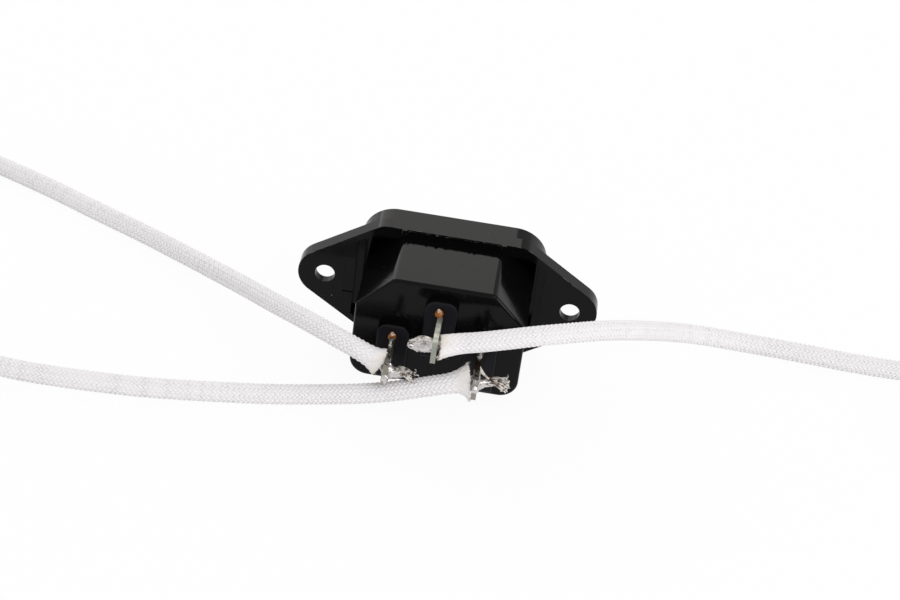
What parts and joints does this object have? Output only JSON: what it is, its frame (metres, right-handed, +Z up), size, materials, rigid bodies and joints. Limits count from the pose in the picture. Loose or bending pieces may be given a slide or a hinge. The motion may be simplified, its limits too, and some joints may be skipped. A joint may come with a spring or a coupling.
{
  "type": "panel-mounting appliance power inlet with leads",
  "caption": "Black panel-mounting power inlet with flat pins, a flange with two screw ears, and white braided leads soldered to its tabs.",
  "frame": {"origin": "on the surface the inlet stands on, under the middle of the inlet without its leads", "axes": "+X to the right ear as seen from the solder tabs, +Y out of the socket mouth, +Z up to the earth side"},
  "size_m": [0.2409, 0.0815, 0.022],
  "materials": {
    "black_plastic": "semi-gloss moulded thermoplastic",
    "tinned_metal": "dull tin plate on brass strip",
    "conductor": "tinned copper strands",
    "solder": "smooth solder",
    "rosin": "amber flux residue",
    "glass_braid": "white woven glass-fibre braid",
    "tie_band": "plain white plastic band"
  },
  "bodies": {
    "root": {"housing": "black_plastic", "pin_left": "tinned_metal", "pin_right": "tinned_metal", "pin_earth": "tinned_metal", "solder_left": "solder", "solder_right": "solder", "solder_earth": "solder", "strands_left": "conductor", "strands_right": "conductor", "strands_earth": "conductor", "lead_left": "glass_braid", "lead_right": "glass_braid", "lead_earth": "glass_braid", "coil_left": "glass_braid", "coil_right": "glass_braid", "coil_earth": "glass_braid", "tie_left": "tie_band", "tie_right": "tie_band", "tie_earth": "tie_band", "bare_end_left": "conductor", "bare_end_right": "conductor", "bare_end_earth": "conductor", "rosin_residue": "rosin"}
  },
  "joints": []
}
